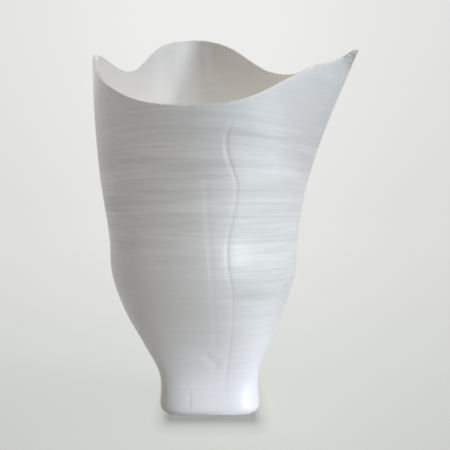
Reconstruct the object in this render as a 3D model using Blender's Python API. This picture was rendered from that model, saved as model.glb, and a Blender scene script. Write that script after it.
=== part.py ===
"""A wavy-rimmed printed planter on a small rounded-square foot, in metres, with +Z up.

One printed shell carries a drop-in soil screen on a ledge above its foot, a soft plug in its drain
hole, and four stick-on pads under the foot. The front of the planter faces -Y.
"""

import math

import bmesh
import bpy
from mathutils import Vector

# The printed wall. Its heights are measured up from the sole, the flat underside of the foot.
WALL_THICKNESS = 0.0016
COLUMNS = 72
LEVEL_STEP = 0.0080  # height between two section rings below the waist
RISING_RINGS = 10  # section rings between the waist and the rim

# Half width of the wall, and the rise to it from the size before, before the rim pulls it out.
SOLE_HALF_WIDTH = 0.0240
FOOT_RISE = 0.0180
FOOT_HALF_WIDTH = 0.0240
ANKLE_RISE = 0.0140
ANKLE_HALF_WIDTH = 0.0305
HIP_RISE = 0.0160
HIP_HALF_WIDTH = 0.0395
BELLY_RISE = 0.0160
BELLY_HALF_WIDTH = 0.0449
WAIST_RISE = 0.0160
WAIST_HALF_WIDTH = 0.0460
CHEST_RISE = 0.0300
CHEST_HALF_WIDTH = 0.0505
SHOULDER_RISE = 0.0400
SHOULDER_HALF_WIDTH = 0.0534
CROWN_RISE = 0.0500
CROWN_HALF_WIDTH = 0.0525

# The foot is a rounded square, which turns round as the wall rises.
FOOT_SQUARENESS = 4.5  # power of the section's curve, which is 2 for a circle
ROUND_SQUARENESS = 2.0
SQUARE_HEIGHT = 0.0100
ROUNDING_RISE = 0.0450
SOLE_FILLET = 0.0035
FILLET_STEPS = 4

# Above the foot the whole body leans to the left.
LEAN = 0.0030
LEAN_START = 0.0045
LEAN_RISE = 0.0525

# The rim dips low at the front and climbs to a crest at the right and at the rear.
FRONT_DIP_REACH = 0.0569
FRONT_DIP_HEIGHT = 0.1364
RIGHT_CREST_REACH = 0.0706
RIGHT_CREST_HEIGHT = 0.1657
REAR_CREST_REACH = 0.0615
REAR_CREST_HEIGHT = 0.1964

# Points of the rim, anticlockwise from above: azimuth from +X in degrees, reach, height.
RIM = [
    (-87.0, FRONT_DIP_REACH, FRONT_DIP_HEIGHT),
    (-45.0, 0.0511, 0.1508),
    (-33.0, 0.0529, 0.1561),
    (-20.0, 0.0593, 0.1620),
    (-7.5, RIGHT_CREST_REACH, RIGHT_CREST_HEIGHT),
    (6.0, 0.0658, 0.1673),
    (32.0, 0.0500, 0.1680),
    (73.0, 0.0482, 0.1881),
    (92.0, REAR_CREST_REACH, REAR_CREST_HEIGHT),
    (118.0, 0.0527, 0.1893),
    (141.0, 0.0487, 0.1717),
    (186.0, 0.0534, 0.1697),
    (227.0, 0.0571, 0.1464),
    (246.0, 0.0594, 0.1382),
]
FLARE_DROP = 0.0344  # from the lowest point of the rim to where the wall begins to follow it
FLARE_POWER = 1.48

# The right crest ends in a small raised point, like a beak.
POINT_AZIMUTH = -7.5
POINT_HALF_ANGLE = 4.8
POINT_REACH = 0.0056
POINT_RISE = 0.0067

# A soft crease runs down the front, from the rim to the ankle.
CREASE_LOW_AZIMUTH = -85.5
CREASE_RIM_AZIMUTH = -92.5
CREASE_HEIGHT = 0.0006
CREASE_HALF_ANGLE = 14.0
CREASE_START = 0.0300
CREASE_FADE = 0.0200

# The floor, with a boss round the drain hole and a recess under it for the plug's flange.
FLOOR_THICKNESS = 0.0030
DRAIN_HOLE_RADIUS = 0.0050
DRAIN_HOLE_LENGTH = 0.0045
BOSS_WALL = 0.0030  # round the recess

# The ledge for the screen, with its underside at 45 degrees so that it prints without support.
LEDGE_RISE = 0.0120  # above the boss
LEDGE_WIDTH = 0.0026
LEDGE_EDGE = 0.0008

SEAT_GAP = 0.0003  # between a piece and the face that carries it

SCREEN_THICKNESS = 0.0020
SCREEN_SIDE_GAP = 0.0005
SCREEN_HOLE_RADIUS = 0.0015
SCREEN_HOLE_PITCH = 0.0052
SCREEN_HOLE_MARGIN = 0.0015  # between the outer holes and the edge of the ledge
KNOB_RADIUS = 0.0026
KNOB_HEIGHT = 0.0090
KNOB_LIP = 0.0010
KNOB_SHOULDER = 0.0010  # by which the knob is wider than its peg, which goes through the screen
KNOB_PEG_GAP = 0.0003

FLANGE_LIP = 0.0030  # by which the plug's flange is wider than the drain hole
FLANGE_THICKNESS = 0.0016
FLANGE_SIDE_GAP = 0.0005
STEM_SIDE_GAP = 0.0003
STEM_PROUD = 0.0010  # above the boss
STEM_CHAMFER = 0.0010
GRIP_WIDTH = 0.0024
GRIP_HEIGHT = 0.0012
GRIP_CLEARANCE = 0.0004  # between the grip and the level of the sole
GRIP_INSET = 0.0035  # from the edge of the flange to each end of the grip

PAD_RADIUS = 0.0040
PAD_PROUD = 0.0007  # below the sole
PAD_POCKET_DEPTH = 0.0012
PAD_SIDE_GAP = 0.0003
PAD_MARGIN = 0.0010  # between the pocket and the fillet of the sole
PAD_BEVEL = 0.0003

SCREEN_COLUMNS = 48
SCREEN_HOLE_SIDES = 8
ROUND_COLUMNS = 24
SMOOTH_BELOW = 35.0  # degrees between two faces that are shaded as one

SILK_WHITE = (0.78, 0.79, 0.80, 1.0)
SILK_ROUGHNESS = 0.32
SILICONE_GREY = (0.62, 0.63, 0.63, 1.0)
SILICONE_ROUGHNESS = 0.55
PAD_GREY = (0.70, 0.71, 0.71, 1.0)
PAD_ROUGHNESS = 0.35

# Sizes that follow from the ones above.
STATIONS = [
    (0.0, SOLE_HALF_WIDTH),
    (FOOT_RISE, FOOT_HALF_WIDTH),
    (ANKLE_RISE, ANKLE_HALF_WIDTH),
    (HIP_RISE, HIP_HALF_WIDTH),
    (BELLY_RISE, BELLY_HALF_WIDTH),
    (WAIST_RISE, WAIST_HALF_WIDTH),
    (CHEST_RISE, CHEST_HALF_WIDTH),
    (SHOULDER_RISE, SHOULDER_HALF_WIDTH),
    (CROWN_RISE, CROWN_HALF_WIDTH),
]
WAIST_HEIGHT = FOOT_RISE + ANKLE_RISE + HIP_RISE + BELLY_RISE + WAIST_RISE
FLARE_START = min(height for azimuth, reach, height in RIM) - FLARE_DROP
FLANGE_RADIUS = DRAIN_HOLE_RADIUS + FLANGE_LIP
RECESS_RADIUS = FLANGE_RADIUS + FLANGE_SIDE_GAP
RECESS_DEPTH = SEAT_GAP + FLANGE_THICKNESS + GRIP_HEIGHT + GRIP_CLEARANCE
BOSS_RADIUS = RECESS_RADIUS + BOSS_WALL
BOSS_HEIGHT = RECESS_DEPTH + DRAIN_HOLE_LENGTH
LEDGE_HEIGHT = BOSS_HEIGHT + LEDGE_RISE
PAD_THICKNESS = PAD_POCKET_DEPTH - SEAT_GAP + PAD_PROUD


def smooth_step(start, rise, value):
    """0 up to start, 1 from start + rise, and a smooth climb between them."""
    t = min(1.0, max(0.0, (value - start) / rise))
    return t * t * (3.0 - 2.0 * t)


def curve_through(points, x):
    """The height at x of a smooth curve through (x, y) points, with a cubic on each span."""
    spans = [(x1 - x0, (y1 - y0) / (x1 - x0)) for (x0, y0), (x1, y1) in zip(points, points[1:])]
    slopes = [0.0]
    for (before, rise_before), (after, rise_after) in zip(spans, spans[1:]):
        slopes.append((rise_before * after + rise_after * before) / (before + after))
    slopes.append(spans[-1][1])
    i = 0
    while i < len(spans) - 1 and x > points[i + 1][0]:
        i += 1
    width = spans[i][0]
    t = (x - points[i][0]) / width
    return (
        (2 * t**3 - 3 * t**2 + 1) * points[i][1]
        + (t**3 - 2 * t**2 + t) * width * slopes[i]
        + (3 * t**2 - 2 * t**3) * points[i + 1][1]
        + (t**3 - t**2) * width * slopes[i + 1]
    )


def half_width(height):
    """Half width of the wall across its flats, before the flare."""
    points = []
    station_height = 0.0
    for rise, width in STATIONS:
        station_height += rise
        points.append((station_height, width))
    return curve_through(points, height)


def around(azimuth, centre):
    """The angle from centre to azimuth, the short way round."""
    return (azimuth - centre + 180.0) % 360.0 - 180.0


def rim_value(azimuth, column):
    """Reach (column 1) or height (column 2) of the rim, without its raised point."""
    start = RIM[0][0]
    points = [(row[0] + turn, row[column]) for turn in (-360.0, 0.0, 360.0) for row in RIM]
    return curve_through(points, (azimuth - start) % 360.0 + start)


def point_share(azimuth):
    return math.exp(-((around(azimuth, POINT_AZIMUTH) / POINT_HALF_ANGLE) ** 2))


def rim_reach(azimuth):
    return rim_value(azimuth, 1) + POINT_REACH * point_share(azimuth)


def rim_height(azimuth):
    return rim_value(azimuth, 2) + POINT_RISE * point_share(azimuth)


def squareness(azimuth, height):
    """Reach of the section at this azimuth as a share of its half width."""
    roundness = smooth_step(SQUARE_HEIGHT, ROUNDING_RISE, height)
    power = FOOT_SQUARENESS + (ROUND_SQUARENESS - FOOT_SQUARENESS) * roundness
    a = math.radians(azimuth)
    return (abs(math.cos(a)) ** power + abs(math.sin(a)) ** power) ** (-1.0 / power)


def crease_azimuth(height):
    share = smooth_step(CREASE_START, FRONT_DIP_HEIGHT - CREASE_START, height)
    return CREASE_LOW_AZIMUTH + (CREASE_RIM_AZIMUTH - CREASE_LOW_AZIMUTH) * share


def crease(azimuth, height):
    """A low ridge, sharp at its top and fading to both sides."""
    away = abs(around(azimuth, crease_azimuth(height)))
    fade = smooth_step(CREASE_START, CREASE_FADE, height)
    return CREASE_HEIGHT * fade * math.exp(-away / CREASE_HALF_ANGLE)


def wall_reach(azimuth, height):
    """Distance from the leaned axis to the outside of the wall."""
    top = rim_height(azimuth)
    flare = max(0.0, (height - FLARE_START) / (top - FLARE_START)) ** FLARE_POWER
    pull = (rim_reach(azimuth) - half_width(top)) * flare
    return half_width(height) * squareness(azimuth, height) + pull + crease(azimuth, height)


def wall_point(azimuth, height, inset=0.0):
    """A point of the wall, inset from its outside. Z is 0 on the table, under the pads."""
    lean = LEAN * smooth_step(LEAN_START, LEAN_RISE, height)
    reach = wall_reach(azimuth, height) - inset
    a = math.radians(azimuth)
    return Vector((reach * math.cos(a) - lean, reach * math.sin(a), PAD_PROUD + height))


def azimuths(height, columns):
    """One azimuth for each column of a ring. The first column follows the crease."""
    return [crease_azimuth(height) + 360.0 * i / columns for i in range(columns)]


def level_ring(height, inset=0.0, columns=COLUMNS):
    return [wall_point(azimuth, height, inset) for azimuth in azimuths(height, columns)]


def rising_ring(share, inset=0.0):
    """A ring that is level at the waist, at share 0, and reaches the wavy rim at share 1."""
    front_height = WAIST_HEIGHT + (FRONT_DIP_HEIGHT - WAIST_HEIGHT) * share
    ring = []
    for azimuth in azimuths(front_height, COLUMNS):
        height = WAIST_HEIGHT + (rim_height(azimuth) - WAIST_HEIGHT) * share
        ring.append(wall_point(azimuth, height, inset))
    return ring


def circle_ring(radius, height, columns=COLUMNS):
    """A level round ring on the foot's own axis, its columns in line with the wall's."""
    turns = [math.radians(azimuth) for azimuth in azimuths(0.0, columns)]
    return [
        Vector((radius * math.cos(a), radius * math.sin(a), PAD_PROUD + height)) for a in turns
    ]


def evenly(low, high, step):
    """Heights from low to high, evenly spaced, about a step apart."""
    count = max(1, round((high - low) / step))
    return [low + (high - low) * i / count for i in range(count + 1)]


def object_from(mesh, name, material=None):
    data = bpy.data.meshes.new(name)
    mesh.to_mesh(data)
    mesh.free()
    piece = bpy.data.objects.new(name, data)
    bpy.context.scene.collection.objects.link(piece)
    if material:
        data.materials.append(material)
        data.shade_smooth()
        data.set_sharp_from_angle(angle=math.radians(SMOOTH_BELOW))
    return piece


def skin(name, rings, material, capped):
    """A closed solid over rings of equal length, capped at its ends or joined last to first."""
    mesh = bmesh.new()
    loops = [[mesh.verts.new(point) for point in ring] for ring in rings]
    following = loops[1:] if capped else loops[1:] + loops[:1]
    for lower, upper in zip(loops, following):
        for i in range(len(lower)):
            j = (i + 1) % len(lower)
            mesh.faces.new((lower[i], lower[j], upper[j], upper[i]))
    if capped:
        mesh.faces.new(list(reversed(loops[0])))
        mesh.faces.new(loops[-1])
    bmesh.ops.recalc_face_normals(mesh, faces=mesh.faces)
    return object_from(mesh, name, material)


def cylinders(name, places, radius, low, high, sides):
    """Upright cylinders at (x, y) places, in one object."""
    mesh = bmesh.new()
    for x, y in places:
        made = bmesh.ops.create_cone(
            mesh, cap_ends=True, segments=sides, radius1=radius, radius2=radius, depth=high - low
        )
        bmesh.ops.translate(mesh, verts=made["verts"], vec=(x, y, PAD_PROUD + (low + high) / 2.0))
    return object_from(mesh, name)


def combine(piece, other, operation):
    """Joins or cuts a piece with another shape, which stays in the scene as a wire guide."""
    other.hide_render = True
    other.display_type = "WIRE"
    other.parent = piece
    change = piece.modifiers.new(other.name, "BOOLEAN")
    change.operation = operation
    change.object = other


def make_material(name, colour, roughness):
    material = bpy.data.materials.new(name)
    material.use_nodes = True
    shader = material.node_tree.nodes["Principled BSDF"]
    shader.inputs["Base Color"].default_value = colour
    shader.inputs["Roughness"].default_value = roughness
    shader.inputs["Metallic"].default_value = 0.0
    return material


def outer_rings():
    """From the edge of the flat sole, round its fillet and up the outside to the rim."""
    rings = []
    for i in range(FILLET_STEPS):
        turn = math.radians(90.0 * i / FILLET_STEPS)
        height = SOLE_FILLET * (1.0 - math.cos(turn))
        rings.append(level_ring(height, SOLE_FILLET * (1.0 - math.sin(turn))))
    rings += [level_ring(height) for height in evenly(SOLE_FILLET, WAIST_HEIGHT, LEVEL_STEP)]
    rings += [rising_ring((i + 1) / RISING_RINGS) for i in range(RISING_RINGS)]
    return rings


def inner_rings():
    """Down the inside from the rim, over the ledge and down the foot to the floor."""
    shares = [1.0 - i / RISING_RINGS for i in range(RISING_RINGS)]
    rings = [rising_ring(share, WALL_THICKNESS) for share in shares]
    above_ledge = evenly(LEDGE_HEIGHT, WAIST_HEIGHT, LEVEL_STEP)
    rings += [level_ring(height, WALL_THICKNESS) for height in reversed(above_ledge)]
    edge_inset = WALL_THICKNESS + LEDGE_WIDTH
    edge_bottom = LEDGE_HEIGHT - LEDGE_EDGE
    rings.append(level_ring(LEDGE_HEIGHT, edge_inset))
    rings.append(level_ring(edge_bottom, edge_inset))
    below_ledge = evenly(FLOOR_THICKNESS, edge_bottom - LEDGE_WIDTH, LEVEL_STEP)
    rings += [level_ring(height, WALL_THICKNESS) for height in reversed(below_ledge)]
    return rings


def drain_rings():
    """Over the boss, down the drain hole, and out through the recess to the sole."""
    profile = [
        (BOSS_RADIUS, FLOOR_THICKNESS),
        (BOSS_RADIUS, BOSS_HEIGHT),
        (DRAIN_HOLE_RADIUS, BOSS_HEIGHT),
        (DRAIN_HOLE_RADIUS, RECESS_DEPTH),
        (RECESS_RADIUS, RECESS_DEPTH),
        (RECESS_RADIUS, 0.0),
    ]
    return [circle_ring(radius, height) for radius, height in profile]


def pad_places():
    """Centres of the pads, each as near its corner of the sole as the margin allows."""
    corner = SOLE_HALF_WIDTH * squareness(45.0, 0.0) - SOLE_FILLET
    out = (corner - PAD_MARGIN - PAD_SIDE_GAP - PAD_RADIUS) * math.sqrt(0.5)
    return {
        "front_left": (-out, -out),
        "front_right": (out, -out),
        "rear_left": (-out, out),
        "rear_right": (out, out),
    }


def make_shell(material):
    shell = skin("printed_shell", outer_rings() + inner_rings() + drain_rings(), material, False)
    pocket = PAD_RADIUS + PAD_SIDE_GAP
    pockets = cylinders(
        "pad_pockets", pad_places().values(), pocket, -PAD_PROUD, PAD_POCKET_DEPTH, ROUND_COLUMNS
    )
    combine(shell, pockets, "DIFFERENCE")
    return shell


def screen_hole_places():
    """Drain holes on rings round the knob, as many as fit inside the ledge."""
    ledge_edge = half_width(LEDGE_HEIGHT) - WALL_THICKNESS - LEDGE_WIDTH
    radius = KNOB_RADIUS + SCREEN_HOLE_PITCH
    places = []
    while radius + SCREEN_HOLE_RADIUS + SCREEN_HOLE_MARGIN < ledge_edge:
        count = int(2.0 * math.pi * radius / SCREEN_HOLE_PITCH)
        for i in range(count):
            turn = 2.0 * math.pi * i / count
            places.append((radius * math.cos(turn), radius * math.sin(turn)))
        radius += SCREEN_HOLE_PITCH
    return places


def make_screen(material):
    """A plate that follows the wall above the ledge, with drain holes and a hole for its knob."""
    bottom = LEDGE_HEIGHT + SEAT_GAP
    edge = level_ring(bottom, WALL_THICKNESS + SCREEN_SIDE_GAP, SCREEN_COLUMNS)
    raised_edge = [point + Vector((0.0, 0.0, SCREEN_THICKNESS)) for point in edge]
    screen = skin("soil_screen", [edge, raised_edge], material, True)
    knob_hole = KNOB_RADIUS - KNOB_SHOULDER + KNOB_PEG_GAP
    cut_bottom = bottom - SCREEN_THICKNESS
    cut_top = bottom + 2.0 * SCREEN_THICKNESS
    for name, places, radius, sides in (
        ("screen_holes", screen_hole_places(), SCREEN_HOLE_RADIUS, SCREEN_HOLE_SIDES),
        ("knob_hole", [(0.0, 0.0)], knob_hole, ROUND_COLUMNS),
    ):
        cutter = cylinders(name, places, radius, cut_bottom, cut_top, sides)
        combine(screen, cutter, "DIFFERENCE")
    return screen


def make_knob(material):
    """A lipped knob to lift the screen by, with a peg that ends level with its underside."""
    peg = KNOB_RADIUS - KNOB_SHOULDER
    peg_bottom = LEDGE_HEIGHT + SEAT_GAP
    foot = peg_bottom + SCREEN_THICKNESS + SEAT_GAP
    top = peg_bottom + SCREEN_THICKNESS + KNOB_HEIGHT
    profile = [
        (peg, peg_bottom),
        (peg, foot),
        (KNOB_RADIUS, foot),
        (KNOB_RADIUS, top - 3.0 * KNOB_LIP),
        (KNOB_RADIUS + KNOB_LIP, top - 2.0 * KNOB_LIP),
        (KNOB_RADIUS + KNOB_LIP, top - KNOB_LIP),
        (KNOB_RADIUS, top),
    ]
    rings = [circle_ring(radius, height, ROUND_COLUMNS) for radius, height in profile]
    return skin("screen_knob", rings, material, True)


def make_plug(material):
    """A soft plug: flange in the recess, stem in the drain hole, and a finger grip below."""
    flange_top = RECESS_DEPTH - SEAT_GAP
    flange_bottom = flange_top - FLANGE_THICKNESS
    stem = DRAIN_HOLE_RADIUS - STEM_SIDE_GAP
    tip = BOSS_HEIGHT + STEM_PROUD
    profile = [
        (FLANGE_RADIUS, flange_bottom),
        (FLANGE_RADIUS, flange_top),
        (stem, flange_top),
        (stem, tip - STEM_CHAMFER),
        (stem - STEM_CHAMFER, tip),
    ]
    rings = [circle_ring(radius, height, ROUND_COLUMNS) for radius, height in profile]
    plug = skin("drain_plug", rings, material, True)

    grip_top = flange_bottom + FLANGE_THICKNESS / 2.0
    grip_bottom = flange_bottom - GRIP_HEIGHT
    length = 2.0 * (FLANGE_RADIUS - GRIP_INSET)
    mesh = bmesh.new()
    bmesh.ops.create_cube(mesh, size=1.0)
    bmesh.ops.scale(mesh, verts=mesh.verts, vec=(length, GRIP_WIDTH, grip_top - grip_bottom))
    middle = PAD_PROUD + (grip_top + grip_bottom) / 2.0
    bmesh.ops.translate(mesh, verts=mesh.verts, vec=(0.0, 0.0, middle))
    combine(plug, object_from(mesh, "plug_grip"), "UNION")
    return plug


def make_pad(name, place, material):
    """A round stick-on pad with a softened lower edge. The planter stands on its underside."""
    mesh = bmesh.new()
    bmesh.ops.create_cone(
        mesh,
        cap_ends=True,
        segments=ROUND_COLUMNS,
        radius1=PAD_RADIUS,
        radius2=PAD_RADIUS,
        depth=PAD_THICKNESS,
    )
    lower_edge = [e for e in mesh.edges if all(v.co.z < 0.0 for v in e.verts)]
    bmesh.ops.bevel(mesh, geom=lower_edge, offset=PAD_BEVEL, segments=1, affect="EDGES")
    bmesh.ops.translate(mesh, verts=mesh.verts, vec=(*place, PAD_THICKNESS / 2.0))
    return object_from(mesh, name, material)


def empty_at(name, place, parent=None):
    empty = bpy.data.objects.new(name, None)
    bpy.context.scene.collection.objects.link(empty)
    empty.location = place
    empty.parent = parent
    return empty


def middle_of(piece):
    """Centre of a piece's widest extents, seen from above."""
    xs = [vertex.co.x for vertex in piece.data.vertices]
    ys = [vertex.co.y for vertex in piece.data.vertices]
    return (min(xs) + max(xs)) / 2.0, (min(ys) + max(ys)) / 2.0


def main():
    for old in list(bpy.data.objects):
        bpy.data.objects.remove(old)

    silk = make_material("silk_white_print", SILK_WHITE, SILK_ROUGHNESS)
    silicone = make_material("plug_silicone", SILICONE_GREY, SILICONE_ROUGHNESS)
    soft_clear = make_material("pad_silicone", PAD_GREY, PAD_ROUGHNESS)

    # The origin is on the table, under the middle of the planter's widest extents.
    shell = make_shell(silk)
    middle_x, middle_y = middle_of(shell)
    planter = empty_at("planter", (-middle_x, -middle_y, 0.0))
    shell.parent = planter
    for name, place in pad_places().items():
        make_pad("foot_pad_" + name, place, soft_clear).parent = planter

    # The screen lifts out along its own axis by its knob, and the plug pulls out downwards.
    screen_seat = empty_at("screen_seat", (0.0, 0.0, PAD_PROUD + LEDGE_HEIGHT), planter)
    for piece in (make_screen(silk), make_knob(silk)):
        piece.parent = screen_seat
        piece.location = -screen_seat.location
    plug_seat = empty_at("plug_seat", (0.0, 0.0, PAD_PROUD + RECESS_DEPTH), planter)
    plug = make_plug(silicone)
    plug.parent = plug_seat
    plug.location = -plug_seat.location


main()
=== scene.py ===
# %% [markdown]
# # A wavy printed planter
#
# The planter is one tall shell, printed in a pearl-white silk plastic on a small rounded-square
# foot. A loose screen lies on a ledge inside, a soft plug closes the drain hole, and four soft
# pads carry the foot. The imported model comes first: it is the fixed frame, with plain faceted
# solids, and each piece below takes its place from it.

import math

import bmesh
import bpy
import numpy as np
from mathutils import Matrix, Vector, noise


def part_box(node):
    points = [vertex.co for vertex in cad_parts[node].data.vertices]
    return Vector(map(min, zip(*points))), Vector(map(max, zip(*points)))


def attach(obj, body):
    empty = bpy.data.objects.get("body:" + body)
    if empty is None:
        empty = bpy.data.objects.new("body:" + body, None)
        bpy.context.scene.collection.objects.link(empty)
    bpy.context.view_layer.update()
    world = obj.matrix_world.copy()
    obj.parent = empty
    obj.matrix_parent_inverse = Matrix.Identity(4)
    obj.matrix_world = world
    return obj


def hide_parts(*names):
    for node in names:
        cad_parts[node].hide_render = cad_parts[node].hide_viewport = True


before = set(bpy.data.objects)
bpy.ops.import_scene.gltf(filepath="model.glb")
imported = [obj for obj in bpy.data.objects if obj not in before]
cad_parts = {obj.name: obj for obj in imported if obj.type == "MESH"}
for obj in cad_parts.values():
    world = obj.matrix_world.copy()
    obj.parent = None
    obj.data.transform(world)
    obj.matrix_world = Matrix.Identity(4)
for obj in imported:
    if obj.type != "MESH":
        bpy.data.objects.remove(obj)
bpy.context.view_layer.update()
print("nodes:", sorted(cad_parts))

# %% [markdown]
# Every height of the wall is measured up from the sole, and every direction round the foot's own
# axis. The drain plug is round and stands on that axis, so its box gives it. The sole is the
# lowest face of the shell.

# %% The foot's axis and the sole
plug_low, plug_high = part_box("drain_plug")
shell_low, shell_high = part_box("printed_shell")
FOOT_X = (plug_low.x + plug_high.x) / 2
FOOT_Y = (plug_low.y + plug_high.y) / 2
SOLE_Z = shell_low.z
print("foot axis, mm:", round(1000 * FOOT_X, 2), round(1000 * FOOT_Y, 2))

# %% [markdown]
# The camera comes early, so that each piece can be looked at as it is made. It looks level along
# +Y, near half height, from 28 cm in front of the axis. The layer lines of the planter
# are straight at exactly that height and curve up above it and down below it. A small shift
# frames the planter without tilting the camera, so upright lines stay upright.

# %% Camera
CAMERA_DISTANCE = 0.27935
CAMERA_HEIGHT = 0.0959
bpy.ops.object.camera_add(
    location=(FOOT_X, FOOT_Y - CAMERA_DISTANCE, CAMERA_HEIGHT), rotation=(math.radians(90), 0, 0)
)
camera = bpy.context.object
camera.name = "front_camera"
camera.data.lens = 45.0
camera.data.sensor_width = 36.0
camera.data.shift_x = 0.0339
camera.data.shift_y = -0.0376
bpy.context.scene.camera = camera
print("camera at", [round(c, 4) for c in camera.location])

# %% [markdown]
# The wall could be pulled up from a cylinder by hand, but its rim rises and falls all the way
# round and its foot is square, so a few named curves describe it better. One list gives the half
# width at a few heights. Another gives how far out and how high the rim runs in each direction.
# A smooth curve through such points is all that is needed.

# %% Sizes of the wall
WALL = 0.0016
LAYER = 0.00029  # height of one printed layer
WAIST = 0.080  # from here on, the rows of the mesh start to follow the rim
HORN_AZIMUTH = -7.5
FRONT_DIP = 0.1364  # lowest height of the rim
HALF_WIDTHS = [
    (0.000, 0.0240),
    (0.018, 0.0240),
    (0.032, 0.0305),
    (0.048, 0.0395),
    (0.064, 0.0449),
    (0.080, 0.0460),
    (0.110, 0.0505),
    (0.150, 0.0534),
    (0.200, 0.0525),
]
# Direction from +X in degrees, reach and height of the rim, anticlockwise from the front dip.
RIM = [
    (-87.0, 0.0569, FRONT_DIP),
    (-45.0, 0.0511, 0.1508),
    (-33.0, 0.0529, 0.1561),
    (-20.0, 0.0593, 0.1620),
    (HORN_AZIMUTH, 0.0706, 0.1657),
    (6.0, 0.0658, 0.1673),
    (32.0, 0.0500, 0.1680),
    (73.0, 0.0482, 0.1881),
    (92.0, 0.0615, 0.1964),
    (118.0, 0.0527, 0.1893),
    (141.0, 0.0487, 0.1717),
    (186.0, 0.0534, 0.1697),
    (227.0, 0.0571, 0.1464),
    (246.0, 0.0594, 0.1382),
]
print("rim points:", len(RIM), "front dip, mm:", 1000 * FRONT_DIP)

# %% Smooth curves
def smooth_step(start, rise, value):
    """0 up to start, 1 from start + rise, and a smooth climb between them."""
    t = np.clip((value - start) / rise, 0.0, 1.0)
    return t * t * (3.0 - 2.0 * t)


def curve_through(points, x):
    """A smooth curve through (x, y) points, with a cubic on each span."""
    px, py = np.array(points).T
    widths = np.diff(px)
    rises = np.diff(py) / widths
    inner = (rises[:-1] * widths[1:] + rises[1:] * widths[:-1]) / (widths[:-1] + widths[1:])
    slopes = np.concatenate([[0.0], inner, [rises[-1]]])
    i = np.clip(np.searchsorted(px, x) - 1, 0, len(widths) - 1)
    t = (x - px[i]) / widths[i]
    return (
        (2 * t**3 - 3 * t**2 + 1) * py[i]
        + (t**3 - 2 * t**2 + t) * widths[i] * slopes[i]
        + (3 * t**2 - 2 * t**3) * py[i + 1]
        + (t**3 - t**2) * widths[i] * slopes[i + 1]
    )


print("half width at the belly, mm:", round(1000 * float(curve_through(HALF_WIDTHS, 0.064)), 1))

# %% [markdown]
# The foot's section is a rounded square. It is drawn by the power curve |x|^p + |y|^p = 1, which
# is a circle at 2 and nearly a square at 4.5, so one number turns the foot round on its way up.
# Above the ankle the body leans a little to the left. Near the rim the wall is pulled out to the
# rim's own reach, more and more steeply. The horn is a narrow peak with a blunt end, because its
# last layers were too small to hold a point. A soft crease runs down the front.

# %% The outside of the wall
FLARE_START, FLARE_POWER = FRONT_DIP - 0.0344, 1.48
HORN_RISE, HORN_REACH = 0.0067, 0.0056  # how far its peak stands over the rim's own curve
CREASE_START = 0.030  # height where the crease begins
CREASE_RISE, CREASE_SPREAD = 0.0006, 14.0  # metres, degrees
LEAN = 0.003


def around(azimuth, centre):
    """The angle from centre to azimuth, the short way round."""
    return (azimuth - centre + 180.0) % 360.0 - 180.0


def rim_value(azimuth, column):
    start = RIM[0][0]
    points = [(row[0] + turn, row[column]) for turn in (-360.0, 0.0, 360.0) for row in RIM]
    return curve_through(points, (azimuth - start) % 360.0 + start)


def horn_share(azimuth):
    """The horn over the rim: a narrow peak with a blunt end."""
    away = around(azimuth, HORN_AZIMUTH)
    return np.exp(-((away / 4.8) ** 2)) * (1.0 - 0.22 * np.exp(-((away / 1.5) ** 2)))


def rim_height(azimuth):
    return rim_value(azimuth, 2) + HORN_RISE * horn_share(azimuth)


def crease_azimuth(height):
    return -85.5 - 7.0 * smooth_step(CREASE_START, FRONT_DIP - CREASE_START, height)


def wall_reach(azimuth, height):
    """Distance from the leaned axis to the outside of the wall."""
    turn = np.radians(azimuth)
    power = 4.5 - 2.5 * smooth_step(0.010, 0.045, height)
    square = (np.abs(np.cos(turn)) ** power + np.abs(np.sin(turn)) ** power) ** (-1.0 / power)
    top = rim_height(azimuth)
    flare = np.maximum(0.0, (height - FLARE_START) / (top - FLARE_START)) ** FLARE_POWER
    rim_reach = rim_value(azimuth, 1) + HORN_REACH * horn_share(azimuth)
    pull = (rim_reach - curve_through(HALF_WIDTHS, top)) * flare
    ridge = np.exp(-np.abs(around(azimuth, crease_azimuth(height))) / CREASE_SPREAD)
    crease = CREASE_RISE * smooth_step(CREASE_START, 0.020, height) * ridge
    return curve_through(HALF_WIDTHS, height) * square + pull + crease


def wall_points(azimuth, height, inset):
    """Points of the wall, inset from its outside, as rows of x, y, z."""
    azimuth, height, inset = np.broadcast_arrays(azimuth, height, inset)
    lean = LEAN * smooth_step(0.0045, 0.0525, height)
    reach = wall_reach(azimuth, height) - inset
    x = FOOT_X - lean + reach * np.cos(np.radians(azimuth))
    y = FOOT_Y + reach * np.sin(np.radians(azimuth))
    return np.stack([x, y, SOLE_Z + height], axis=-1)


tip = Vector(wall_points(HORN_AZIMUTH, rim_height(HORN_AZIMUTH), 0.0))
print("tip of the horn, mm:", [round(1000 * c, 1) for c in tip])

# %% [markdown]
# A print shows where each layer starts: the starts line up in a seam that wanders down the front
# as a fine groove, with a wide left flank and a steep right one. Under the rim a raised line runs
# to the left of it, and a shallow fold lies beside the crease. Near the ankle the nozzle has left
# a V-shaped scar with a small blister, and the foot has a short upright scar. They are all real
# dents and bumps in the wall, so they are shaped in the mesh, and the columns of the mesh crowd
# together along the seam to hold its narrow shape.

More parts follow.
